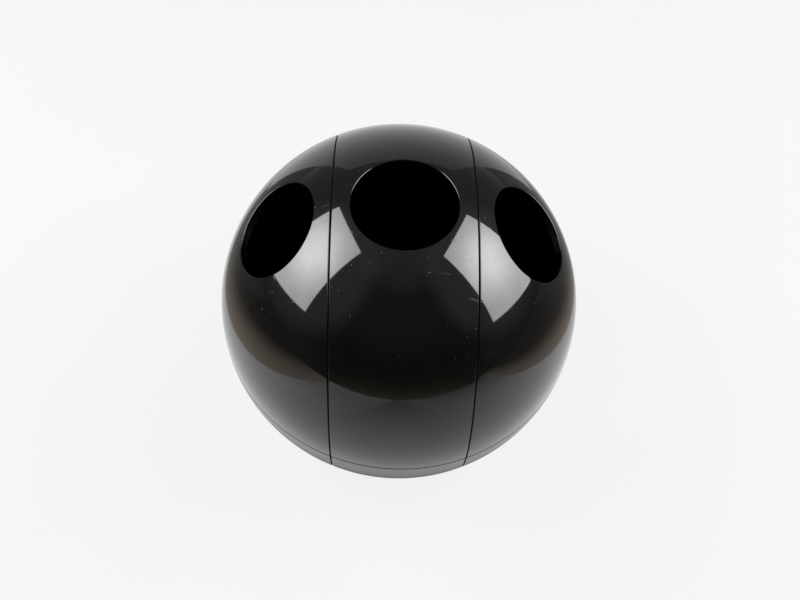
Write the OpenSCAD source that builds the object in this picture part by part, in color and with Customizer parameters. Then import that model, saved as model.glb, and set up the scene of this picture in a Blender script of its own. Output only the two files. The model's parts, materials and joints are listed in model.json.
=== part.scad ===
// A hollow ball cut into three upright slices. Each slice is a holder with a round mouth.
// The centre slice stands on a rubber ring, and the outer slices turn on a level pivot.
// Millimetres, +Z up, +X to the right. The origin is on the surface that the ball stands on,
// below the ball's centre.

/* [Ball] */
// Outer radius of the ball
ball_r = 60; // [59:0.5:64]
// Thickness of the moulded shells
shell_t = 2.4; // [2.2:0.1:2.6]
// How far the ball's foot ring stands out below the flat of the centre slice
foot_out = 1.2; // [1:0.1:1.6]
// How much of the ball is cut away at the flat of the centre slice
flat_cut = 3.2; // [3:0.1:3.6]

/* [Slices] */
// Angle between the axes of neighbouring mouths, in degrees
mouth_pitch = 41.6; // [41:0.2:43]
// Running gap between neighbouring slices
seam_gap = 0.4; // [0.4:0.1:0.8]
// Thickness of the round walls that close the slices
slice_wall_t = 1.6; // [1.4:0.1:1.8]

/* [Mouths] */
// Radius of the round mouths
mouth_r = 15.8; // [14:0.1:16]
// Width of the bevel round each mouth
mouth_bevel = 0.25; // [0.2:0.05:0.6]

/* [Shell joint] */
// Height of the locating lip that stands up inside the upper shells
lip_h = 4; // [3:0.5:5]
// Width of the fine groove where the upper and lower shells meet
parting_w = 0.5; // [0.2:0.05:0.6]

/* [Pivots] */
// Radius of the pivot bolts
bolt_r = 3; // [2.5:0.1:3.2]
// Radial running clearance between a pivot bolt and its bush
bolt_play = 0.05; // [0.02:0.01:0.09]

/* [Hidden] */
$fn = 128;
eps = 0.01;
fit_gap = 0.05;

// The ball
ball_z = ball_r - flat_cut + foot_out;
inner_r = ball_r - shell_t;
far = ball_r + 10;
edge_bevel = 0.3;

// The slices, by their distance from the middle along X
seam_x = ball_r * sin(mouth_pitch / 2);
rim_lip = 0.8;
rim_rib = 0.65;
rim_wall = 2.2;
rim_step = 1.3;
wall_play = 0.1;
seam_rib_play = 0.15;
seam_rib_in_by = 0.5;
seam_rib_under = 0.8;
centre_edge = seam_x - seam_gap / 2;
centre_slot_out = centre_edge - rim_lip;
centre_slot_in = centre_slot_out - slice_wall_t;
centre_rib_in = centre_slot_in - rim_rib;
centre_slot_r = circle_at(centre_slot_out) - rim_wall;
seam_rib_x = centre_edge + seam_gap - seam_rib_play;
seam_rib_in_r = centre_slot_r - rim_step + seam_rib_in_by;
seam_rib_out_r = circle_at(centre_edge) - seam_rib_under;
outer_edge = seam_x + seam_gap / 2;
outer_slot_in = outer_edge + rim_lip;
outer_slot_out = outer_slot_in + slice_wall_t;
outer_rib_out = outer_slot_out + rim_rib;
outer_slot_r = circle_at(outer_slot_out) - rim_wall;

// The screw bosses, by their angles about Z
boss_r = 4.4;
boss_ring_r = 47;
boss_rib_t = 1.6;
centre_boss_angles = [90, -90];
outer_boss_angles = [-50, 50];
screw_r = 1.5;
screw_head_r = 2.8;
screw_head_h = 2.2;
screw_seat = 22;
screw_up = 9;

// The floor, ballast and foot of the centre slice
flat_z = flat_cut - ball_r;
floor_z = flat_z + 2.8;
ballast_r = 17;
ballast_h = 7;
ballast_screw_x = 7;
ballast_screw_up = 7;
foot_in_r = 12;
foot_out_r = 18;
foot_recess = 0.8;

// The pivots, by their distance from the middle along X
hub_r = 8;
hub_h = 1;
bolt_head_r = 6;
bolt_head_h = 3;
bush_r = 4.5;
bush_flange_r = 6.5;
bush_flange_t = 0.8;
flat_washer_t = 0.6;
spring_washer_t = 0.9;
nut_flat = 10;
nut_h = 3.2;
bolt_end_out = 0.8;
washer_r = 12;
pad_r = 14;
stack_play = 0.04;
centre_hub_x = centre_slot_in - hub_h;
bush_x = outer_slot_out + hub_h;
flat_washer_x = bush_x + bush_flange_t + stack_play;
spring_washer_x = flat_washer_x + flat_washer_t;
nut_x = spring_washer_x + spring_washer_t;
bolt_end_x = nut_x + nut_h + bolt_end_out;

gloss_black = "#17171a";
inner_black = "#232326";
steel = "#b4b6b8";
brass = "#c09a4a";
fibre = "#8a3a26";
rubber = "#2c2c2c";
iron = "#55575a";

// Radius of the circle where the ball's surface crosses a plane at a distance x from the centre
function circle_at(x) = sqrt(ball_r * ball_r - x * x);

// ---- Placing ----

module in_ball() {
    translate([0, 0, ball_z]) children();
}

module left_side() {
    mirror([1, 0, 0]) children();
}

module along_x(x) {
    translate([x, 0, 0]) rotate([0, 90, 0]) children();
}

module at_angles(angles) {
    for (angle = angles) rotate([0, 0, angle]) translate([boss_ring_r, 0, 0]) children();
}

// ---- Building blocks, about the ball's centre ----

module block(low, high) {
    translate(low) cube(high - low);
}

module disc(r, x_from, x_to) {
    along_x(x_from) cylinder(r = r, h = x_to - x_from);
}

module washer(r_in, r_out, x_from, x_to) {
    difference() {
        disc(r_out, x_from, x_to);
        disc(r_in, x_from - 1, x_to + 1);
    }
}

module hexagon(across_flats, x_from, x_to) {
    along_x(x_from) cylinder(d = across_flats / cos(30), h = x_to - x_from, $fn = 6);
}

// The mouth: a round hole through the shell, with a bevel at the ball's surface
module mouth_cut(tilt) {
    rim_z = circle_at(mouth_r);
    rotate([0, tilt, 0]) {
        translate([0, 0, rim_z - 6]) cylinder(r = mouth_r, h = 12);
        translate([0, 0, rim_z - mouth_bevel])
            cylinder(r1 = mouth_r, r2 = mouth_r + 3 * mouth_bevel, h = 3 * mouth_bevel);
    }
}

// Takes the sharp corner off the ball where a slice's flat side meets it
module edge_cut(edge, side) {
    near = edge - side * edge_bevel;
    past = edge + side;
    rotate([0, 90, 0]) rotate_extrude()
        polygon([
            [circle_at(near), near],
            [circle_at(edge) - edge_bevel, edge],
            [circle_at(edge) - edge_bevel, past],
            [far, past],
            [far, near]
        ]);
}

// The fine groove round the ball where the upper and lower shells meet
module parting_cut() {
    rotate_extrude()
        polygon([
            [ball_r - parting_w / 2, 0],
            [ball_r + parting_w, 1.5 * parting_w],
            [ball_r + parting_w, -1.5 * parting_w]
        ]);
}

module upper_space() {
    block([-far, -far, 0], [far, far, far]);
}

module lower_space() {
    block([-far, -far, -far], [far, far, 0]);
}

// The inner half of the shell's thickness near its middle plane, for the lip or for its recess
module lip_ring(x_from, x_to, high, outer) {
    difference() {
        intersection() {
            sphere(r = outer);
            block([x_from, -far, -1], [x_to, far, high]);
        }
        sphere(r = inner_r - eps);
    }
}

module lip(x_from, x_to) {
    lip_ring(x_from + wall_play, x_to - wall_play, lip_h, inner_r + shell_t / 2 - fit_gap);
}

module lip_recess(x_from, x_to) {
    lip_ring(x_from, x_to, lip_h + wall_play, inner_r + shell_t / 2);
}

// Posts inside the upper shell that the screws bite into, each with a rib to the shell
module upper_bosses(angles) {
    intersection() {
        at_angles(angles) {
            cylinder(r = boss_r, h = far);
            block([0, -boss_rib_t / 2, lip_h + 1], [far, boss_rib_t / 2, far]);
        }
        sphere(r = inner_r + shell_t / 2);
    }
}

module upper_boss_holes(angles) {
    at_angles(angles) translate([0, 0, -1]) cylinder(r = screw_r + fit_gap, h = screw_up + 2);
}

// Posts inside the lower shell, where the screws go in from below
module lower_bosses(angles) {
    intersection() {
        at_angles(angles) {
            translate([0, 0, -far]) cylinder(r = boss_r, h = far);
            block([0, -boss_rib_t / 2, -far], [far, boss_rib_t / 2, -2]);
        }
        sphere(r = inner_r + shell_t / 2);
    }
}

module lower_boss_holes(angles) {
    at_angles(angles) {
        translate([0, 0, -screw_seat - 1]) cylinder(r = screw_r + 0.2, h = screw_seat + 2);
        translate([0, 0, -far]) cylinder(r = screw_head_r + 0.3, h = far - screw_seat);
    }
}

module shell_screws(angles) {
    at_angles(angles) difference() {
        union() {
            translate([0, 0, -screw_seat]) cylinder(r = screw_r, h = screw_seat + screw_up);
            translate([0, 0, -screw_seat - screw_head_h])
                cylinder(r1 = screw_head_r - 0.5, r2 = screw_head_r, h = screw_head_h);
        }
        for (turn = [0, 90]) rotate([0, 0, turn])
            translate([-1.6, -0.35, -screw_seat - screw_head_h - 1]) cube([3.2, 0.7, 2.2]);
    }
}

// ---- Centre slice ----

// The low rib on each side of the centre slice, which closes the running gap to light and dust
module seam_ribs() {
    for (turn = [0, 180]) rotate([0, 0, turn])
        washer(seam_rib_in_r, seam_rib_out_r, centre_edge - eps, seam_rib_x);
}

// A sphere whose poles and seam lie in the fine groove where the shells meet
module centre_ball() {
    rotate([90, 0, 0]) sphere(r = ball_r);
}

module centre_body() {
    difference() {
        union() {
            intersection() {
                centre_ball();
                block([-centre_edge, -far, flat_z], [centre_edge, far, far]);
            }
            seam_ribs();
        }
        intersection() {
            sphere(r = inner_r);
            block([-centre_rib_in, -far, floor_z], [centre_rib_in, far, far]);
        }
        disc(centre_slot_r - rim_step, -far, far);
        for (side = [-1, 1])
            disc(centre_slot_r, side * (centre_slot_in + centre_slot_out) / 2 - slice_wall_t / 2,
                side * (centre_slot_in + centre_slot_out) / 2 + slice_wall_t / 2);
        edge_cut(centre_edge, 1);
        edge_cut(-centre_edge, -1);
        parting_cut();
    }
}

module centre_upper_shell() {
    color(gloss_black) in_ball() difference() {
        union() {
            intersection() {
                centre_body();
                upper_space();
            }
            upper_bosses(centre_boss_angles);
        }
        lip_recess(-centre_rib_in, centre_rib_in);
        upper_boss_holes(centre_boss_angles);
        mouth_cut(0);
    }
}

module centre_lower_shell() {
    color(gloss_black) in_ball() difference() {
        union() {
            intersection() {
                centre_body();
                lower_space();
            }
            lip(-centre_rib_in, centre_rib_in);
            lower_bosses(centre_boss_angles);
        }
        lower_boss_holes(centre_boss_angles);
        for (side = [-1, 1]) translate([side * ballast_screw_x, 0, flat_z]) {
            translate([0, 0, -1]) cylinder(r = screw_r + 0.2, h = 6);
            translate([0, 0, -1]) cylinder(r = screw_head_r + 0.2, h = 2.2);
        }
        translate([0, 0, flat_z]) difference() {
            translate([0, 0, -1]) cylinder(r = foot_out_r + fit_gap, h = 1 + foot_recess);
            translate([0, 0, -2]) cylinder(r = foot_in_r - fit_gap, h = 4);
        }
    }
}

// A round wall in the slot at the side of the centre slice, with a hub for the pivot bolt
module centre_wall() {
    color(inner_black) in_ball() difference() {
        union() {
            disc(centre_slot_r - wall_play, centre_slot_in, centre_slot_out);
            disc(hub_r, centre_hub_x, centre_slot_out);
            disc(pad_r, centre_slot_in, centre_edge);
        }
        disc(bolt_r + fit_gap, 0, far);
    }
}

module centre_left_wall() {
    left_side() centre_wall();
}

module centre_right_wall() {
    centre_wall();
}

module centre_shell_screws() {
    color(steel) in_ball() shell_screws(centre_boss_angles);
}

module ballast_weight() {
    color(iron) in_ball() translate([0, 0, floor_z]) difference() {
        union() {
            cylinder(r = ballast_r, h = ballast_h - 1);
            translate([0, 0, ballast_h - 1]) cylinder(r1 = ballast_r, r2 = ballast_r - 1, h = 1);
        }
        for (side = [-1, 1])
            translate([side * ballast_screw_x, 0, -1])
                cylinder(r = screw_r + fit_gap, h = ballast_screw_up);
    }
}

module ballast_screws() {
    color(steel) in_ball()
        for (side = [-1, 1]) translate([side * ballast_screw_x, 0, flat_z]) difference() {
            union() {
                translate([0, 0, 0.2]) cylinder(r = screw_head_r, h = 1);
                translate([0, 0, 1]) cylinder(r = screw_r, h = ballast_screw_up);
            }
            for (turn = [0, 90]) rotate([0, 0, turn])
                translate([-1.6, -0.35, -0.1]) cube([3.2, 0.7, 0.8]);
        }
}

module foot_ring() {
    foot_h = foot_out + foot_recess;
    bevel = 0.4;
    color(rubber) rotate_extrude()
        polygon([
            [foot_in_r, foot_h],
            [foot_in_r, bevel],
            [foot_in_r + bevel, 0],
            [foot_out_r - bevel, 0],
            [foot_out_r, bevel],
            [foot_out_r, foot_h]
        ]);
}

// ---- Pivots ----

module pivot_bolt() {
    color(steel) in_ball() difference() {
        union() {
            disc(bolt_r, centre_hub_x, bolt_end_x);
            disc(bolt_head_r, centre_hub_x - bolt_head_h + 0.5, centre_hub_x);
            along_x(centre_hub_x - bolt_head_h)
                cylinder(r1 = bolt_head_r - 0.5, r2 = bolt_head_r, h = 0.5);
        }
        hexagon(4, centre_hub_x - bolt_head_h - 1, centre_hub_x - 0.8);
    }
}

module flat_washer() {
    color(steel) in_ball()
        washer(bolt_r + 0.1, bush_flange_r, flat_washer_x, flat_washer_x + flat_washer_t);
}

module spring_washer() {
    color(steel) in_ball() difference() {
        washer(bolt_r + 0.1, bolt_r + 2.4, spring_washer_x, spring_washer_x + spring_washer_t);
        block([spring_washer_x - 1, -0.3, 0], [nut_x + 1, 0.3, far]);
    }
}

module pivot_nut() {
    color(steel) in_ball() difference() {
        intersection() {
            hexagon(nut_flat, nut_x, nut_x + nut_h);
            along_x(nut_x) union() {
                cylinder(r = nut_flat / 2 + 0.8, h = nut_h - 0.6);
                translate([0, 0, nut_h - 0.6])
                    cylinder(r1 = nut_flat / 2 + 0.8, r2 = nut_flat / 2 - 0.1, h = 0.6);
            }
        }
        disc(bolt_r + fit_gap, nut_x - 1, nut_x + nut_h + 1);
    }
}

module left_pivot_bolt() {
    left_side() pivot_bolt();
}

module left_flat_washer() {
    left_side() flat_washer();
}

module left_spring_washer() {
    left_side() spring_washer();
}

module left_pivot_nut() {
    left_side() pivot_nut();
}

module right_pivot_bolt() {
    pivot_bolt();
}

module right_flat_washer() {
    flat_washer();
}

module right_spring_washer() {
    spring_washer();
}

module right_pivot_nut() {
    pivot_nut();
}

// ---- Outer slices, drawn on the right and mirrored to the left ----

// A sphere whose poles and seam are clear of the right-hand slice
module outer_ball(r) {
    rotate([90, 0, 180]) sphere(r = r);
}

module outer_body() {
    difference() {
        intersection() {
            outer_ball(ball_r);
            block([outer_edge, -far, -far], [far, far, far]);
        }
        intersection() {
            outer_ball(inner_r);
            block([outer_rib_out, -far, -far], [far, far, far]);
        }
        disc(outer_slot_r - rim_step, 0, outer_rib_out + eps);
        disc(outer_slot_r, outer_slot_in, outer_slot_out);
        edge_cut(outer_edge, -1);
        parting_cut();
    }
}

module outer_upper_shell() {
    color(gloss_black) in_ball() difference() {
        union() {
            intersection() {
                outer_body();
                upper_space();
            }
            upper_bosses(outer_boss_angles);
        }
        lip_recess(outer_rib_out, far);
        upper_boss_holes(outer_boss_angles);
        mouth_cut(mouth_pitch);
    }
}

module outer_lower_shell() {
    color(gloss_black) in_ball() difference() {
        union() {
            intersection() {
                outer_body();
                lower_space();
            }
            lip(outer_rib_out, far);
            lower_bosses(outer_boss_angles);
        }
        lower_boss_holes(outer_boss_angles);
    }
}

// A round wall that closes an outer slice, with a hub for the pivot bush
module outer_wall() {
    color(inner_black) in_ball() difference() {
        union() {
            disc(outer_slot_r - wall_play, outer_slot_in, outer_slot_out);
            disc(hub_r, outer_slot_in, bush_x);
            disc(pad_r, outer_edge, outer_slot_out);
        }
        disc(bush_r + 0.02, 0, far);
    }
}

module outer_pivot_bush() {
    color(brass) in_ball() difference() {
        union() {
            disc(bush_r, outer_edge, bush_x + bush_flange_t);
            disc(bush_flange_r, bush_x, bush_x + bush_flange_t);
        }
        disc(bolt_r + bolt_play, 0, far);
    }
}

module friction_washer() {
    color(fibre) in_ball()
        washer(bush_r + 0.1, washer_r, centre_edge + stack_play, outer_edge);
}

module left_upper_shell() {
    left_side() outer_upper_shell();
}

module left_lower_shell() {
    left_side() outer_lower_shell();
}

module left_inner_wall() {
    left_side() outer_wall();
}

module left_pivot_bush() {
    left_side() outer_pivot_bush();
}

module left_friction_washer() {
    left_side() friction_washer();
}

module left_shell_screws() {
    left_side() color(steel) in_ball() shell_screws(outer_boss_angles);
}

module right_upper_shell() {
    outer_upper_shell();
}

module right_lower_shell() {
    outer_lower_shell();
}

module right_inner_wall() {
    outer_wall();
}

module right_pivot_bush() {
    outer_pivot_bush();
}

module right_friction_washer() {
    friction_washer();
}

module right_shell_screws() {
    color(steel) in_ball() shell_screws(outer_boss_angles);
}

centre_upper_shell();
centre_lower_shell();
centre_left_wall();
centre_right_wall();
centre_shell_screws();
ballast_weight();
ballast_screws();
foot_ring();
left_pivot_bolt();
left_flat_washer();
left_spring_washer();
left_pivot_nut();
right_pivot_bolt();
right_flat_washer();
right_spring_washer();
right_pivot_nut();
left_upper_shell();
left_lower_shell();
left_inner_wall();
left_pivot_bush();
left_friction_washer();
left_shell_screws();
right_upper_shell();
right_lower_shell();
right_inner_wall();
right_pivot_bush();
right_friction_washer();
right_shell_screws();
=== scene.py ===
"""A glossy black holder ball, cut into three upright slices, on a pale studio floor."""
import json
import math

import bmesh
import bpy
import numpy as np
from mathutils import Matrix, Vector


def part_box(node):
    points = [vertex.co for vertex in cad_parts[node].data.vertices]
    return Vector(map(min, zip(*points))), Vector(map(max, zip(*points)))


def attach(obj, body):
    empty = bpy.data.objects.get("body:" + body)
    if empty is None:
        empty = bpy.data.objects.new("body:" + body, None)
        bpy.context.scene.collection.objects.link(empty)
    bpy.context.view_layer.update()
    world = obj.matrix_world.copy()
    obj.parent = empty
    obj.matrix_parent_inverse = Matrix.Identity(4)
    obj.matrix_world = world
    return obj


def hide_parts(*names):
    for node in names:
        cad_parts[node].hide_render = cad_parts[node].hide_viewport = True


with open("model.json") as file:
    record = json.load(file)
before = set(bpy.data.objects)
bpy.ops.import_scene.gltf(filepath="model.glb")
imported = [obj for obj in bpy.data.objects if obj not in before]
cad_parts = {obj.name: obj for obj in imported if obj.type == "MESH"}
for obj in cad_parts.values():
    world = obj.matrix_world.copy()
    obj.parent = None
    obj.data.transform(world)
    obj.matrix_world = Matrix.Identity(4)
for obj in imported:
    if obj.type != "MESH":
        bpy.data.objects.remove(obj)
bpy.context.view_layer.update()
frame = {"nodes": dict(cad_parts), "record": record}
NODES = frame["nodes"]
MM = 0.001

# ---- Sizes, read from the frame ----

def snapped(value):
    """A size from the frame, to the nearest hundredth of a millimetre."""
    return round(value, 5)


bolt_low, bolt_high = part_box("right_pivot_bolt")
foot_low, foot_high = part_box("foot_ring")
mouths = {mount["name"]: mount for mount in frame["record"]["mounts"]}
CENTRE = Vector((0, 0, snapped((bolt_low.z + bolt_high.z) / 2)))
BALL_R = snapped(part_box("right_upper_shell")[1].x)
CENTRE_EDGE = snapped(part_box("centre_right_wall")[1].x)
SEAM_RIB_X = snapped(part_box("centre_upper_shell")[1].x)
OUTER_EDGE = snapped(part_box("right_upper_shell")[0].x)
FLAT_Z = snapped(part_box("centre_lower_shell")[0].z) - CENTRE.z
FLOOR_Z = snapped(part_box("ballast_weight")[0].z) - CENTRE.z
FOOT_TOP_Z = snapped(foot_high.z) - CENTRE.z
FOOT_OUT_R = snapped(foot_high.x)
MOUTH_R = mouths["centre_mouth"]["dims"]["r_mm"] * MM
MOUTH_TILT = math.asin(mouths["right_mouth"]["axis"][0])

# ---- Sizes of the mouldings ----

# The shells, and the roundings where they end
SHELL_T = 2.4 * MM
INNER_R = BALL_R - SHELL_T
EDGE_ROUND = 0.22 * MM
MOUTH_ROUND = 0.32 * MM
GROOVE = 0.32 * MM
PLAY = 0.1 * MM

# The lip of the lower shells, which stands in the upper ones
LIP_R = INNER_R + SHELL_T / 2
LIP_TOP = 4 * MM

# The rim round each side of a slice: a lip, a slot for the wall and a rib behind it
RIM_LIP = 0.8 * MM
RIM_WALL = 1.6 * MM
RIM_RIB = 0.65 * MM
RIM_DEEP = 2.2 * MM
RIM_STEP = 1.3 * MM
CENTRE_RIB_X = CENTRE_EDGE - RIM_LIP - RIM_WALL - RIM_RIB
OUTER_RIB_X = OUTER_EDGE + RIM_LIP + RIM_WALL + RIM_RIB

# The low rib on the centre slice that closes the running gap
SEAM_RIB_IN = 0.5 * MM
SEAM_RIB_UNDER = 0.8 * MM

# The screw posts, by their angles about Z
CENTRE_POSTS = (90, -90)
OUTER_POSTS = (-50, 50)
POST_RING = 47 * MM
POST_R = 4.4 * MM
POST_RIB = 0.8 * MM
BITE_R = 1.55 * MM
BITE_TOP = 10 * MM
SHANK_HOLE_R = 1.7 * MM
WELL_R = 3.1 * MM
WELL_TOP = -22 * MM

# The foot of the centre slice
FLOOR_R = 20.4 * MM
FOOT_WIDE = 6 * MM
FOOT_PLAY = 0.05 * MM
BALLAST_SCREW_X = 7 * MM
BALLAST_WELL_R = 3 * MM
BALLAST_WELL_DEEP = 1.2 * MM

# Working values: well outside the ball, past a cut, and how near counts as on a surface
FAR = BALL_R + 10 * MM
PAST = 1 * MM
ON_SURFACE = 0.007 * MM
SHARP_ANGLE = 32


# ---- Camera ----

CAMERA_PULL = 5.1        # distance from the ball's centre, in ball radii
CAMERA_RISE = 60.9       # degrees above the level
CAMERA_SWING = 3.1       # degrees to the left of the front
CAMERA_ROLL = -3.65      # degrees
CAMERA_LENS = 39.9       # for a sensor 36 mm wide
CAMERA_SHIFT = (0.0015, 0.0014)


def add_camera():
    rise, swing = math.radians(CAMERA_RISE), math.radians(CAMERA_SWING)
    aim = Matrix.Rotation(-swing, 4, "Z") @ Matrix.Rotation(math.pi / 2 - rise, 4, "X")
    turn = aim @ Matrix.Rotation(math.radians(-CAMERA_ROLL), 4, "Z")
    data = bpy.data.cameras.new("camera")
    data.lens = CAMERA_LENS
    data.sensor_width = 36
    data.shift_x, data.shift_y = CAMERA_SHIFT
    camera = bpy.data.objects.new("camera", data)
    back = turn @ Vector((0, 0, CAMERA_PULL * BALL_R))
    camera.matrix_world = Matrix.Translation(CENTRE + back) @ turn
    bpy.context.scene.collection.objects.link(camera)
    bpy.context.scene.camera = camera


# ---- Node helpers ----

def new_material(name):
    material = bpy.data.materials.new(name)
    material.use_nodes = True
    material.node_tree.nodes.clear()
    return material


NUMBER_RESULTS = ("LENGTH", "DISTANCE", "DOT_PRODUCT")


class Graph:
    """Adds nodes to a tree. A socket's value is a number, a colour or another node's output."""

    def __init__(self, tree):
        self.tree = tree

    def put(self, socket, value):
        if isinstance(value, bpy.types.NodeSocket):
            self.tree.links.new(value, socket)
        else:
            socket.default_value = value

    def node(self, kind, settings=None, **sockets):
        made = self.tree.nodes.new(kind)
        for key, value in (settings or {}).items():
            setattr(made, key, value)
        for key, value in sockets.items():
            self.put(made.inputs[key.replace("_", " ")], value)
        return made

    def math(self, operation, a, b=0.0, clamp=False):
        made = self.tree.nodes.new("ShaderNodeMath")
        made.operation = operation
        made.use_clamp = clamp
        self.put(made.inputs[0], a)
        self.put(made.inputs[1], b)
        return made.outputs[0]

    def vector(self, operation, a, b=None):
        made = self.tree.nodes.new("ShaderNodeVectorMath")
        made.operation = operation
        self.put(made.inputs[0], a)
        if b is not None:
            self.put(made.inputs[1], b)
        return made.outputs["Value" if operation in NUMBER_RESULTS else "Vector"]

    def ramp(self, value, low, high, out_low=0.0, out_high=1.0):
        made = self.tree.nodes.new("ShaderNodeMapRange")
        made.interpolation_type = "SMOOTHSTEP"
        for key, number in zip(("Value", "From Min", "From Max", "To Min", "To Max"),
                               (value, low, high, out_low, out_high)):
            self.put(made.inputs[key], number)
        return made.outputs["Result"]

    def mix(self, factor, a, b):
        made = self.tree.nodes.new("ShaderNodeMix")
        made.data_type = "RGBA"
        self.put(made.inputs["Factor"], factor)
        self.put(made.inputs[6], a)
        self.put(made.inputs[7], b)
        return made.outputs[2]

    def noise(self, coordinates, scale, detail=3.0, roughness=0.55):
        made = self.node("ShaderNodeTexNoise", Vector=coordinates, Scale=scale,
                         Detail=detail, Roughness=roughness)
        return made.outputs["Fac"]

    def finish(self, shader, kind="ShaderNodeOutputMaterial"):
        made = self.tree.nodes.new(kind)
        self.tree.links.new(shader, made.inputs["Surface"])


# ---- Studio ----

def grey(value):
    return (value, value, value, 1.0)


def mesh_object(name, points, faces, material=None):
    mesh = bpy.data.meshes.new(name)
    mesh.from_pydata([tuple(p) for p in points], [], faces)
    mesh.validate()
    obj = bpy.data.objects.new(name, mesh)
    bpy.context.scene.collection.objects.link(obj)
    if material:
        mesh.materials.append(material)
    return obj


def seen_by(obj, camera=False, glossy=False, diffuse=False, shadow=False):
    obj.visible_camera = camera
    obj.visible_glossy = glossy
    obj.visible_diffuse = diffuse
    obj.visible_transmission = False
    obj.visible_volume_scatter = False
    obj.visible_shadow = shadow


def floor_material():
    material = new_material("pale_floor")
    g = Graph(material.node_tree)
    place = g.node("ShaderNodeTexCoord").outputs["Object"]
    tone = g.ramp(g.noise(place, 9.0), 0.3, 0.7, 0.048, 0.052)
    paper = g.node("ShaderNodeBsdfDiffuse", Color=g.mix(tone, grey(0.0), grey(1.0)))
    glow = g.node("ShaderNodeEmission", Color=grey(0.815), Strength=1.0)
    both = g.node("ShaderNodeAddShader")
    g.put(both.inputs[0], paper.outputs[0])
    g.put(both.inputs[1], glow.outputs[0])
    g.finish(both.outputs[0])
    return material


def add_floor():
    """A pale floor just below the foot ring, which curves up far away on all sides."""
    flat, curl, high = 1.6, 0.6, 2.8
    below = 0.1 * MM
    steps, turns = 12, 96
    profile = [(0.0, 0.0), (flat / 2, 0.0), (flat, 0.0)]
    for i in range(1, steps + 1):
        a = math.pi / 2 * i / steps
        profile.append((flat + math.sin(a) * curl, curl - math.cos(a) * curl))
    profile.append((flat + curl, high))
    points, faces = [], []
    for r, z in profile:
        for k in range(turns):
            a = 2 * math.pi * k / turns
            points.append((r * math.cos(a), r * math.sin(a), z - below))
    for i in range(len(profile) - 1):
        ring, outer_ring = i * turns, (i + 1) * turns
        for k in range(turns):
            m = (k + 1) % turns
            faces.append((ring + k, ring + m, outer_ring + m, outer_ring + k))
    floor = mesh_object("floor", points, faces, floor_material())
    for face in floor.data.polygons:
        face.use_smooth = True
    seen_by(floor, camera=True, diffuse=True)


def sheet_material():
    """A glowing card, no lamp, for the white sheet under the ball as the gloss sees it, in ball radii
    from the ball's middle: its light and the ball's shadow on it are painted.
    """
    material = new_material("sheet_glow")
    g = Graph(material.node_tree)
    place = g.node("ShaderNodeTexCoord").outputs["Object"]
    in_radii = g.vector("DIVIDE", place, (BALL_R, BALL_R, BALL_R))
    axes = g.node("ShaderNodeSeparateXYZ", Vector=in_radii)
    across, along = axes.outputs["X"], axes.outputs["Y"]
    wide = g.math("ABSOLUTE", across)
    forward = g.math("MULTIPLY", along, -1.0)
    on_right = g.ramp(across, -0.1, 0.1)

    # The sheet itself, as painted light: brightest in front of the ball, dull behind it, and darkened
    # near the ball by a painted shadow
    away = g.math("POWER", g.math("DIVIDE", g.math("ABSOLUTE", along), 5.0), 2.0)
    lengthwise = g.math("DIVIDE", 0.7, g.math("ADD", away, 1.0))
    # white is the painted brightness of the sheet, not its colour
    white = g.math("ADD", lengthwise, g.ramp(wide, 0.8, 4.0, 0.5, 0.74))
    white = g.math("MULTIPLY", white, g.ramp(along, -0.5, 1.0, 1.0, 0.6))
    # Painted light: a little darker to the right, more so further back
    tilt = g.math("MULTIPLY", across, g.ramp(along, 0.0, 1.5, 0.02, 0.10))
    white = g.math("MULTIPLY", white, g.math("SUBTRACT", 1.0, tilt))
    # Painted shadow of the ball: the sheet goes dark close round its foot
    white = g.math("MULTIPLY", white, g.ramp(g.vector("LENGTH", in_radii), 0.75, 1.45, 0.15, 1.0))

    def by_side(left, right):
        return g.ramp(on_right, 0.0, 1.0, left, right)

    # Past its slanting side edges: a warm glow that dies away to the dim room
    edge = g.math("ADD", g.math("MULTIPLY", forward, by_side(0.69, 0.90)), by_side(2.30, 2.35))
    past = g.math("SUBTRACT", wide, g.math("MAXIMUM", edge, by_side(1.80, 1.70)))
    left_reach = g.math("ADD", g.math("MULTIPLY", forward, 0.45), 1.95)
    right_reach = g.math("ADD", g.math("MULTIPLY", forward, 0.18), 1.25)
    change = g.math("MULTIPLY", g.math("SUBTRACT", right_reach, left_reach), on_right)
    reach = g.math("MAXIMUM", g.math("ADD", left_reach, change), 0.4)
    fade = g.math("MULTIPLY", g.math("POWER", g.math("DIVIDE", past, reach), 2.0), -1.0)
    glow = g.math("MULTIPLY", g.ramp(along, -0.8, 1.6, 0.72, 0.10), by_side(1.0, 0.87))
    glow = g.math("MULTIPLY", glow, g.math("EXPONENT", fade))
    room = g.ramp(along, 0.0, 2.0, by_side(0.14, 0.17), 0.22)
    both = g.math("ADD", glow, room)
    room_colour = g.mix(g.ramp(along, 0.0, 1.5), (1.0, 0.90, 0.80, 1.0), grey(1.0))
    warm = g.mix(g.math("DIVIDE", glow, both), room_colour, (1.0, 0.85, 0.68, 1.0))
    off_sheet = g.ramp(past, -0.05, 0.08)
    strength = g.math("ADD", white, g.math("MULTIPLY", g.math("SUBTRACT", both, white), off_sheet))
    shine = g.node("ShaderNodeEmission", Color=g.mix(off_sheet, grey(1.0), warm))
    g.put(shine.inputs["Strength"], strength)
    g.finish(shine.outputs[0])
    return material


def board_material():
    """A glowing card, no lamp, for the white board behind the ball, with painted light: brighter at its
    foot and on its left.
    """
    material = new_material("board_glow")
    g = Graph(material.node_tree)
    place = g.node("ShaderNodeTexCoord").outputs["Generated"]
    axes = g.node("ShaderNodeSeparateXYZ", Vector=place)
    lean = g.math("MULTIPLY", g.math("SUBTRACT", 0.5, axes.outputs["X"]), 0.13)
    glow = g.node("ShaderNodeEmission", Color=grey(1.0))
    upright = g.ramp(axes.outputs["Z"], 0.0, 1.0, 0.88, 0.48)
    g.put(glow.inputs["Strength"], g.math("ADD", upright, lean))
    g.finish(glow.outputs[0])
    return material


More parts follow.
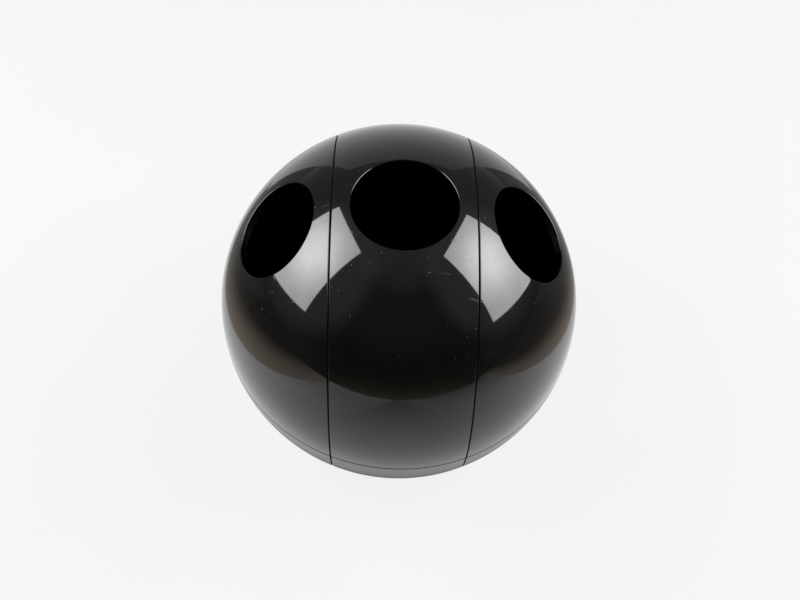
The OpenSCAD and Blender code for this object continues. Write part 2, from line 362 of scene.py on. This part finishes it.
def add_sheet_and_board():
    """What the gloss of the ball mirrors below the level, as glowing cards with painted light that only
    reflections see: a white sheet, and a low board behind.
    """
    far = 60 * BALL_R
    corners = [(-far, -far, 0), (far, -far, 0), (far, far, 0), (-far, far, 0)]
    sheet = mesh_object("sheet", corners, [(0, 1, 2, 3)], sheet_material())
    low_half, low_back, low_z = 2.1 * BALL_R, 2.5 * BALL_R, 2 * MM
    high_half, high_back, high_z = 1.9 * BALL_R, 4.1 * BALL_R, 3.45 * BALL_R
    corners = [(-low_half, low_back, low_z), (low_half, low_back, low_z),
               (high_half, high_back, high_z), (-high_half, high_back, high_z)]
    board = mesh_object("board", corners, [(0, 1, 2, 3)], board_material())
    for piece in (sheet, board):
        seen_by(piece, glossy=True)


def softbox_material(name):
    """A lamp behind cloth: brightest in the middle, and a little cloudy."""
    material = new_material(name)
    g = Graph(material.node_tree)
    place = g.node("ShaderNodeTexCoord").outputs["Object"]
    glow = g.node("ShaderNodeEmission", Color=(1.0, 1.0, 0.985, 1.0))
    from_bulb = g.vector("DISTANCE", place, (0.0, 0.35 * BALL_R, 0.0))
    bright = g.ramp(from_bulb, 0.0, 3.9 * BALL_R, 15.3, 7.2)
    cloud = g.ramp(g.noise(place, 12.0), 0.3, 0.7, 0.96, 1.04)
    g.put(glow.inputs["Strength"], g.math("MULTIPLY", bright, cloud))
    g.finish(glow.outputs[0])
    return material


def add_softbox(name, swing, rise, size, yaw=0, pitch=0, roll=0):
    """A soft light, with its size in ball radii. swing is degrees to the right of the front."""
    away = 8 * BALL_R
    a, e = math.radians(swing), math.radians(rise)
    place = Vector((math.sin(a) * math.cos(e), -math.cos(a) * math.cos(e), math.sin(e))) * away
    facing = -place.normalized()
    right = Vector((0, 0, 1)).cross(facing).normalized()
    up = facing.cross(right)
    for turn, axis_name in ((yaw, "up"), (pitch, "right"), (roll, "facing")):
        axis = {"up": up, "right": right, "facing": facing}[axis_name]
        spin = Matrix.Rotation(math.radians(turn), 3, axis)
        facing, right, up = spin @ facing, spin @ right, spin @ up
    w, h = size[0] * BALL_R / 2, size[1] * BALL_R / 2
    box = mesh_object(name, [(-w, -h, 0), (w, -h, 0), (w, h, 0), (-w, h, 0)], [(0, 1, 2, 3)],
                      softbox_material(name + "_glow"))
    rotation = Matrix((right, up, facing)).transposed().to_4x4()
    box.matrix_world = Matrix.Translation(CENTRE + place) @ rotation
    seen_by(box, glossy=True, diffuse=True)


LAMP_RISE = math.radians(39.8)      # how far above the level the wall is lit, round the soft boxes


def add_world():
    """A dim room: warm at the skyline, darkest in front, lighter overhead, by the lamps and behind."""
    world = bpy.data.worlds.new("room")
    bpy.context.scene.world = world
    world.use_nodes = True
    world.node_tree.nodes.clear()
    g = Graph(world.node_tree)
    place = g.node("ShaderNodeTexCoord").outputs["Generated"]
    axes = g.node("ShaderNodeSeparateXYZ", Vector=place)
    wide, depth, height = g.math("ABSOLUTE", axes.outputs["X"]), axes.outputs["Y"], axes.outputs["Z"]
    level = g.math("SQRT", g.math("SUBTRACT", 1.0, g.math("POWER", height, 2.0), clamp=True))
    aside = g.math("DIVIDE", wide, g.math("MAXIMUM", level, 0.01))
    skyline = g.math("EXPONENT", g.math("MULTIPLY", g.math("MAXIMUM", height, 0.0), -11.0))
    skyline = g.math("MULTIPLY", skyline, g.ramp(aside, 0.35, 0.8, 0.22, 0.0))
    overhead = g.math("ADD", g.ramp(height, 0.3, 0.8, 0.07, 0.13), g.ramp(height, 0.87, 1.0, 0.0, 0.17))
    sides = g.ramp(aside, 0.55, 0.9, 0.0, 0.06)
    behind = g.ramp(depth, 0.0, 0.6, 0.0, 0.16)
    to_lamps = (math.cos(LAMP_RISE), 0.0, math.sin(LAMP_RISE))
    by_lamps = g.vector("DOT_PRODUCT", g.vector("ABSOLUTE", place), to_lamps)
    lamplit = g.ramp(by_lamps, 0.75, 0.90, 0.0, 0.20)
    total = g.math("ADD", lamplit, skyline)
    for part in (overhead, sides, behind):
        total = g.math("ADD", total, part)
    warmth = g.math("MULTIPLY", g.ramp(height, 0.1, 0.6, 1.0, 0.0), g.ramp(aside, 0.5, 0.9, 1.0, 0.0))
    warmth = g.math("MULTIPLY", warmth, g.ramp(depth, -0.2, 0.2, 1.0, 0.0))
    back = g.node("ShaderNodeBackground", Color=g.mix(warmth, grey(1.0), (1.0, 0.88, 0.70, 1.0)))
    g.put(back.inputs["Strength"], total)
    g.finish(back.outputs[0], "ShaderNodeOutputWorld")


# ---- Materials ----

def principled(name, colour, roughness, metallic=0.0, bump=0.0, bump_scale=300.0, spread=0.04):
    """A plain finish: its tone, roughness and fine relief vary over the piece."""
    material = new_material(name)
    g = Graph(material.node_tree)
    place = g.node("ShaderNodeTexCoord").outputs["Object"]
    cloud = g.noise(place, 60.0)
    dark = tuple(c * 0.8 for c in colour) + (1.0,)
    light = tuple(min(1.0, c * 1.15) for c in colour) + (1.0,)
    shader = g.node("ShaderNodeBsdfPrincipled", Metallic=metallic)
    g.put(shader.inputs["Base Color"], g.mix(cloud, dark, light))
    g.put(shader.inputs["Roughness"], g.ramp(cloud, 0.3, 0.7, roughness - spread, roughness + spread))
    if bump:
        relief = g.node("ShaderNodeBump", Strength=bump, Distance=0.1 * MM,
                        Height=g.noise(place, bump_scale, 4.0))
        g.put(shader.inputs["Normal"], relief.outputs[0])
    g.finish(shader.outputs[0])
    return material


def polished_part(g, place):
    """1 on the ball's surface and on the walls of the mouths, 0 inside."""
    from_centre = g.vector("SUBTRACT", place, CENTRE)
    out = g.vector("LENGTH", from_centre)
    on_ball = g.ramp(out, BALL_R - 0.20 * MM, BALL_R - 0.08 * MM)
    off_middle = g.vector("LENGTH", g.vector("CROSS_PRODUCT", from_centre, (0.0, 0.0, 1.0)))
    side_mouth = (math.sin(MOUTH_TILT), 0.0, math.cos(MOUTH_TILT))
    one_side = g.vector("ABSOLUTE", from_centre)
    off_side = g.vector("LENGTH", g.vector("CROSS_PRODUCT", one_side, side_mouth))
    in_mouth = g.math("LESS_THAN", g.math("MINIMUM", off_middle, off_side), MOUTH_R + MOUTH_ROUND)
    in_mouth = g.math("MULTIPLY", in_mouth, g.math("GREATER_THAN", out, INNER_R - 0.1 * MM))
    return g.math("MAXIMUM", on_ball, in_mouth)


def gloss_black():
    """Black plastic with dust and hairlines: polished on the ball and in the mouths, matt inside."""
    material = new_material("gloss_black_plastic")
    g = Graph(material.node_tree)
    place = g.node("ShaderNodeTexCoord").outputs["Object"]
    haze = g.noise(place, 35.0, 4.0)
    polished = polished_part(g, place)

    # Dust: small round specks, in some places more than in others
    cells = g.node("ShaderNodeTexVoronoi", Vector=place, Scale=600.0)
    size = g.ramp(g.noise(place, 90.0), 0.38, 0.75, 0.0, 0.12)
    specks = g.math("MULTIPLY", g.math("LESS_THAN", cells.outputs["Distance"], size), polished)

    # Scratches: long thin marks that follow stretched noise
    stretched = g.node("ShaderNodeMapping", Vector=place, Rotation=(0.4, 0.3, 0.9),
                       Scale=(14.0, 420.0, 420.0))
    marks = g.ramp(g.noise(stretched.outputs[0], 1.0, 2.0), 0.66, 0.72)

    # Colour: nearly black, with a faint film of fine dust, and a little lighter where it is matt
    body = g.mix(haze, grey(0.0002), grey(0.0005))
    film = g.ramp(g.noise(place, 1100.0, 2.0), 0.5, 0.8, 0.0, 0.7)
    body = g.mix(film, body, (0.0018, 0.0017, 0.0016, 1.0))
    body = g.mix(polished, (0.004, 0.004, 0.0035, 1.0), body)
    shader = g.node("ShaderNodeBsdfPrincipled", IOR=1.5)
    g.put(shader.inputs["Base Color"], g.mix(specks, body, (0.028, 0.027, 0.025, 1.0)))

    # Roughness: a slight haze, duller on scratches and specks
    shine = g.math("ADD", g.ramp(haze, 0.3, 0.7, 0.035, 0.055), g.math("MULTIPLY", marks, 0.14))
    rough = g.math("ADD", shine, g.math("MULTIPLY", specks, 0.35))
    g.put(shader.inputs["Roughness"], g.ramp(polished, 0.0, 1.0, 0.75, rough))

    # Relief: a slow ripple of the moulding, specks that stand up and scratches that are cut in
    ripple = g.node("ShaderNodeBump", Strength=1.0, Distance=0.015 * MM, Height=g.noise(place, 30.0, 1.0))
    fine = g.math("SUBTRACT", g.math("MULTIPLY", specks, 4.0), marks)
    relief = g.node("ShaderNodeBump", Strength=1.0, Distance=0.002 * MM, Height=fine)
    g.put(relief.inputs["Normal"], ripple.outputs[0])
    g.put(shader.inputs["Normal"], relief.outputs[0])
    g.finish(shader.outputs[0])
    return material


FINISHES = {
    "gloss_black": gloss_black(),
    "inner_black": principled("inner_black_plastic", (0.003, 0.003, 0.003), 0.55, bump=0.2),
    "steel": principled("zinc_steel", (0.55, 0.56, 0.57), 0.32, 1.0, 0.1),
    "brass": principled("turned_brass", (0.62, 0.46, 0.20), 0.28, 1.0, 0.1),
    "fibre": principled("red_fibre", (0.26, 0.07, 0.04), 0.7, bump=0.4, bump_scale=900.0),
    "iron": principled("cast_iron", (0.10, 0.10, 0.105), 0.6, 0.8, 0.6, 500.0),
    "rubber": principled("black_rubber", (0.02, 0.02, 0.02), 0.75, bump=0.4, bump_scale=700.0),
}


def finish_cad_nodes():
    slots = {s["node"]: s["material_slot"] for s in frame["record"]["subparts"]}
    for name, obj in NODES.items():
        obj.data.materials.clear()
        obj.data.materials.append(FINISHES[slots[name]])


# ---- Solids, about the ball's centre ----

def arc(centre, radius, start, end, pieces):
    """Points along a circle, from one angle to another."""
    angles = [start + (end - start) / pieces * i for i in range(pieces + 1)]
    return [(centre[0] + radius * math.cos(a), centre[1] + radius * math.sin(a)) for a in angles]


def solid(points, faces):
    mesh = bpy.data.meshes.new("solid")
    mesh.from_pydata(points, [], faces)
    shape = bmesh.new()
    shape.from_mesh(mesh)
    bmesh.ops.remove_doubles(shape, verts=shape.verts, dist=1e-8)
    bmesh.ops.recalc_face_normals(shape, faces=shape.faces)
    shape.to_mesh(mesh)
    shape.free()
    obj = bpy.data.objects.new("solid", mesh)
    bpy.context.scene.collection.objects.link(obj)
    return obj


def revolved(outline, axis="Z", steps=360):
    """A closed outline of (radius, height) points, turned about an axis."""
    count = len(outline)
    points, faces = [], []
    for step in range(steps):
        a = 2 * math.pi * (step + 0.5) / steps
        for r, height in outline:
            across, along = r * math.cos(a), r * math.sin(a)
            points.append((height, across, along) if axis == "X" else (across, along, height))
        ring, after = step * count, (step + 1) % steps * count
        for i in range(count):
            j = (i + 1) % count
            faces.append((ring + i, ring + j, after + j, after + i))
    return solid(points, faces)


def cylinder(r, low, high, at=(0, 0), steps=64):
    obj = revolved([(0, low), (r, low), (r, high), (0, high)], steps=steps)
    obj.data.transform(Matrix.Translation((at[0], at[1], 0)))
    return obj


def block(low, high):
    points = [(x, y, z) for x in (low[0], high[0]) for y in (low[1], high[1]) for z in (low[2], high[2])]
    faces = [(0, 1, 3, 2), (4, 6, 7, 5), (0, 4, 5, 1), (2, 3, 7, 6), (0, 2, 6, 4), (1, 5, 7, 3)]
    return solid(points, faces)


def combined(how, base, *others):
    """The base solid with the others joined on, cut away or kept in common."""
    for other in others:
        change = base.modifiers.new("change", "BOOLEAN")
        change.operation = how
        change.solver = "MANIFOLD"
        change.object = other
    view = bpy.context.evaluated_depsgraph_get()
    mesh = bpy.data.meshes.new_from_object(base.evaluated_get(view))
    base.modifiers.clear()
    base.data = mesh
    for other in others:
        bpy.data.objects.remove(other)
    return base


# ---- The slices of the ball ----

def circle_at(x, radius=BALL_R):
    """Radius of the circle where a sphere crosses a plane at a distance x from its centre."""
    return math.sqrt(radius * radius - x * x)


def edge_tube(edge, side):
    """Where the rounding of a slice's edge is centred (radius, x), and its lean from upright."""
    x = edge + side * EDGE_ROUND
    r = circle_at(x, BALL_R - EDGE_ROUND)
    return (r, x), math.atan2(x, r)


def centre_slice():
    """The whole wall of the centre slice: a band of the ball, with a slot for a wall at each side."""
    slot_out = CENTRE_EDGE - RIM_LIP
    slot_in = slot_out - RIM_WALL
    slot_r = circle_at(slot_out) - RIM_DEEP
    flange_r = slot_r - RIM_STEP
    seam_rib_out = circle_at(CENTRE_EDGE) - SEAM_RIB_UNDER
    seam_rib_in = flange_r + SEAM_RIB_IN
    tube, lean = edge_tube(CENTRE_EDGE, -1)
    half = arc((0, 0), BALL_R, 0, lean, 20)[:-1] + arc(tube, EDGE_ROUND, lean, math.pi / 2, 8)
    half += [(seam_rib_out, CENTRE_EDGE), (seam_rib_out, SEAM_RIB_X), (seam_rib_in, SEAM_RIB_X),
             (seam_rib_in, CENTRE_EDGE)]
    half += [(flange_r, CENTRE_EDGE), (flange_r, slot_out), (slot_r, slot_out), (slot_r, slot_in),
             (flange_r, slot_in), (flange_r, CENTRE_RIB_X)]
    half += arc((0, 0), INNER_R, math.asin(CENTRE_RIB_X / INNER_R), 0, 8)
    return revolved(half + [(r, -x) for r, x in reversed(half[1:-1])], "X")


def outer_slice():
    """The whole wall of the right-hand slice: a cap of the ball, with a slot for its wall."""
    slot_in = OUTER_EDGE + RIM_LIP
    slot_out = slot_in + RIM_WALL
    slot_r = circle_at(slot_out) - RIM_DEEP
    flange_r = slot_r - RIM_STEP
    tube, lean = edge_tube(OUTER_EDGE, 1)
    outline = [(flange_r, OUTER_EDGE)] + arc(tube, EDGE_ROUND, -math.pi / 2, lean, 10)
    outline += arc((0, 0), BALL_R, lean, math.pi / 2, 60)[1:]
    outline += arc((0, 0), INNER_R, math.pi / 2, math.asin(OUTER_RIB_X / INNER_R), 30)
    outline += [(flange_r, OUTER_RIB_X), (flange_r, slot_out), (slot_r, slot_out), (slot_r, slot_in),
                (flange_r, slot_in)]
    return revolved(outline, "X")


def half_space(side):
    """The space above (1) or below (-1) the joint of the shells, less its half of the fine groove."""
    groove_far = side * (FAR - BALL_R + GROOVE)
    outline = [(0, 0), (BALL_R - GROOVE, 0), (FAR, groove_far), (FAR, side * FAR), (0, side * FAR)]
    return revolved(outline)


def lip_band(r, low, high, x_low, x_high):
    """The inner part of the shell's thickness near the joint."""
    bore = INNER_R - 0.02 * MM
    outline = [(circle_at(z, r), z) for z in (low, (low + high) / 2, high)]
    outline += [(circle_at(z, bore), z) for z in (high, (low + high) / 2, low)]
    return combined("INTERSECT", revolved(outline), block((x_low, -FAR, -FAR), (x_high, FAR, FAR)))


def mouth_cutter(tilt):
    """The space of a mouth, with a rounded rim that runs out into the ball."""
    tube_r = MOUTH_R + MOUTH_ROUND
    tube_z = circle_at(tube_r, BALL_R - MOUTH_ROUND)
    low, run = 40 * MM, 2 * MM
    end = math.atan2(tube_z, tube_r) + math.radians(12)
    rim = arc((tube_r, tube_z), MOUTH_ROUND, math.pi, end, 8)
    run_out = (rim[-1][0] + run * math.sin(end), rim[-1][1] - run * math.cos(end))
    outline = [(0, low), (MOUTH_R, low)] + rim + [run_out, (run_out[0], FAR), (0, FAR)]
    cutter = revolved(outline)
    cutter.data.transform(Matrix.Rotation(tilt, 4, "Y"))
    return cutter


def post_places(angles):
    turns = [math.radians(angle) for angle in angles]
    return [(POST_RING * math.cos(turn), POST_RING * math.sin(turn)) for turn in turns]


def posts(angles, low, high, rib_low, rib_high):
    """Posts for the shell screws, each with a rib that runs out to the shell."""
    made = None
    for angle, at in zip(angles, post_places(angles)):
        rib = block((0, -POST_RIB, rib_low), (FAR - POST_RING, POST_RIB, rib_high))
        rib.data.transform(Matrix.Translation((*at, 0)) @ Matrix.Rotation(math.radians(angle), 4, "Z"))
        post = combined("UNION", cylinder(POST_R, low, high, at), rib)
        made = combined("UNION", made, post) if made else post
    ball = revolved(arc((0, 0), LIP_R, -math.pi / 2, math.pi / 2, 60), steps=120)
    return combined("INTERSECT", made, ball)


def upper_shell(body, angles, tilt, x_low, x_high):
    """The part of a slice above the joint, with its mouth, posts and the recess for the lip."""
    shell = combined("INTERSECT", body, half_space(1))
    shell = combined("UNION", shell, posts(angles, 0, FAR, LIP_TOP + PAST, FAR))
    shell = combined("DIFFERENCE", shell, lip_band(LIP_R, -PAST, LIP_TOP + PLAY, x_low, x_high))
    holes = [cylinder(BITE_R, -PAST, BITE_TOP, at) for at in post_places(angles)]
    return combined("DIFFERENCE", shell, mouth_cutter(tilt), *holes)


def lower_shell(body, angles, x_low, x_high):
    """The part of a slice below the joint, with its lip, posts and the wells for the screws."""
    shell = combined("INTERSECT", body, half_space(-1))
    lip = lip_band(LIP_R - PLAY / 2, -PAST, LIP_TOP, x_low + PLAY, x_high - PLAY)
    shell = combined("UNION", shell, lip, posts(angles, -FAR, 0, -FAR, -2 * PAST))
    holes = [cylinder(SHANK_HOLE_R, WELL_TOP - 2 * PAST, PAST, at) for at in post_places(angles)]
    wells = [cylinder(WELL_R, -FAR, WELL_TOP, at) for at in post_places(angles)]
    return combined("DIFFERENCE", shell, *holes, *wells)


def add_floor_of_slice(shell, half_wide):
    """The flat foot of the centre slice, with the foot ring's groove and the ballast's screw holes."""
    plug = cylinder(FLOOR_R, FLAT_Z - PAST, FLOOR_Z, steps=180)
    plug = combined("INTERSECT", plug, block((-half_wide, -FAR, -FAR), (half_wide, FAR, FAR)))
    shell = combined("UNION", shell, plug)
    flat = block((-FAR, -FAR, -FAR), (FAR, FAR, FLAT_Z))
    ring_in, ring_out = FOOT_OUT_R - FOOT_WIDE - FOOT_PLAY, FOOT_OUT_R + FOOT_PLAY
    groove = [(ring_in, -FAR), (ring_out, -FAR), (ring_out, FOOT_TOP_Z), (ring_in, FOOT_TOP_Z)]
    cuts = [flat, revolved(groove, steps=180)]
    for x in (-BALLAST_SCREW_X, BALLAST_SCREW_X):
        cuts.append(cylinder(SHANK_HOLE_R, -FAR, FLOOR_Z + 4 * PAST, (x, 0)))
        cuts.append(cylinder(BALLAST_WELL_R, -FAR, FLAT_Z + BALLAST_WELL_DEEP, (x, 0)))
    return combined("DIFFERENCE", shell, *cuts)


# ---- Smooth normals, from the true surfaces ----

TINY = 1e-9


def tube_normals(points, axis, tube, radius):
    """Distance of points from a rounding that runs round an axis, and its outward normals."""
    along = points @ axis
    away = points - along[:, None] * axis
    r = np.linalg.norm(away, axis=1)
    outward = (r - tube[0])[:, None] * away / np.maximum(r, TINY)[:, None]
    offset = outward + (along - tube[1])[:, None] * axis
    length = np.linalg.norm(offset, axis=1)
    return abs(length - radius), offset / np.maximum(length, TINY)[:, None]


def ball_normals(points, radius, sign=1):
    length = np.linalg.norm(points, axis=1)
    return abs(length - radius), sign * points / np.maximum(length, TINY)[:, None]


def bore_normals(points, axis, radius):
    away = points - (points @ axis)[:, None] * axis
    length = np.linalg.norm(away, axis=1)
    return abs(length - radius), -away / np.maximum(length, TINY)[:, None]


def smooth(obj, tilt, edges):
    """Faces that lie on the ball, in a mouth or on a rounding get the normals of the true surface."""
    mesh = obj.data
    mesh.shade_smooth()
    mesh.set_sharp_from_angle(angle=math.radians(SHARP_ANGLE))
    at = np.zeros(len(mesh.vertices) * 3)
    mesh.vertices.foreach_get("co", at)
    at = at.reshape(-1, 3)
    corner = np.zeros(len(mesh.loops), int)
    mesh.loops.foreach_get("vertex_index", corner)
    first = np.zeros(len(mesh.polygons), int)
    mesh.polygons.foreach_get("loop_start", first)
    points = at[corner]
    mouth = np.array((math.sin(tilt), 0, math.cos(tilt)))
    tube_r = MOUTH_R + MOUTH_ROUND
    plain = [
        ball_normals(points, BALL_R),
        ball_normals(points, INNER_R, -1),
        bore_normals(points, mouth, MOUTH_R),
    ]
    mouth_tube = (tube_r, circle_at(tube_r, BALL_R - MOUTH_ROUND))
    roundings = [tube_normals(points, mouth, mouth_tube, MOUTH_ROUND)]
    for edge, side in edges:
        tube, _ = edge_tube(edge, side)
        roundings.append(tube_normals(points, np.array((1.0, 0, 0)), tube, EDGE_ROUND))
    normals = np.zeros((len(corner), 3))
    corners_per_face = np.diff(np.append(first, len(corner)))
    ball_miss, ball_ideal = plain[0]
    on_ball = ball_miss < ON_SURFACE
    for number, (miss, ideal) in enumerate(plain + roundings):
        worst = np.maximum.reduceat(miss, first)
        lies = np.repeat(worst < ON_SURFACE, corners_per_face) & (normals == 0).all(axis=1)
        normals[lies] = ideal[lies]
        # A rounding takes the ball's own normals where it meets the ball, so that no edge shows
        if number >= len(plain):
            normals[lies & on_ball] = ball_ideal[lies & on_ball]
    mesh.normals_split_custom_set([tuple(n) for n in normals])


def copied(obj):
    twin = bpy.data.objects.new("twin", obj.data.copy())
    bpy.context.scene.collection.objects.link(twin)
    return twin


def mirrored(obj):
    """A copy for the left-hand side."""
    twin = copied(obj)
    twin.data.transform(Matrix.Scale(-1, 4, (1, 0, 0)))
    twin.data.flip_normals()
    return twin


def install(obj, name, node, body, tilt, edges):
    """Puts a finished shell in the frame in place of its CAD node."""
    obj.name = name
    obj.data.name = name
    smooth(obj, tilt, edges)
    obj.data.transform(Matrix.Translation(CENTRE))
    obj.data.materials.clear()
    obj.data.materials.append(FINISHES["gloss_black"])
    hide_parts(node)
    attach(obj, body)


def add_shells():
    band = centre_slice()
    band_copy = copied(band)
    seams = ((CENTRE_EDGE, -1), (-CENTRE_EDGE, 1))
    upper = upper_shell(band, CENTRE_POSTS, 0, -CENTRE_RIB_X, CENTRE_RIB_X)
    lower = lower_shell(band_copy, CENTRE_POSTS, -CENTRE_RIB_X, CENTRE_RIB_X)
    lower = add_floor_of_slice(lower, CENTRE_RIB_X + RIM_RIB / 2)
    install(upper, "centre_upper_moulding", "centre_upper_shell", "centre_section", 0, seams)
    install(lower, "centre_lower_moulding", "centre_lower_shell", "centre_section", 0, seams)
    cap = outer_slice()
    cap_copy = copied(cap)
    upper = upper_shell(cap, OUTER_POSTS, MOUTH_TILT, OUTER_RIB_X, FAR)
    lower = lower_shell(cap_copy, OUTER_POSTS, OUTER_RIB_X, FAR)
    for half, obj in (("upper", upper), ("lower", lower)):
        twin = mirrored(obj)
        install(twin, f"left_{half}_moulding", f"left_{half}_shell", "left_section", -MOUTH_TILT,
                ((-OUTER_EDGE, -1),))
        install(obj, f"right_{half}_moulding", f"right_{half}_shell", "right_section", MOUTH_TILT,
                ((OUTER_EDGE, 1),))


add_camera()
add_floor()
add_sheet_and_board()
add_softbox("left_softbox", swing=-96.2, rise=39.3, size=(5.18, 6.95), roll=-31.8)
add_softbox("right_softbox", swing=92.9, rise=40.1, size=(5.08, 7.05), yaw=-4.6, pitch=-6.7, roll=31.1)
add_world()
finish_cad_nodes()
add_shells()
bpy.context.scene.view_settings.view_transform = "Standard"
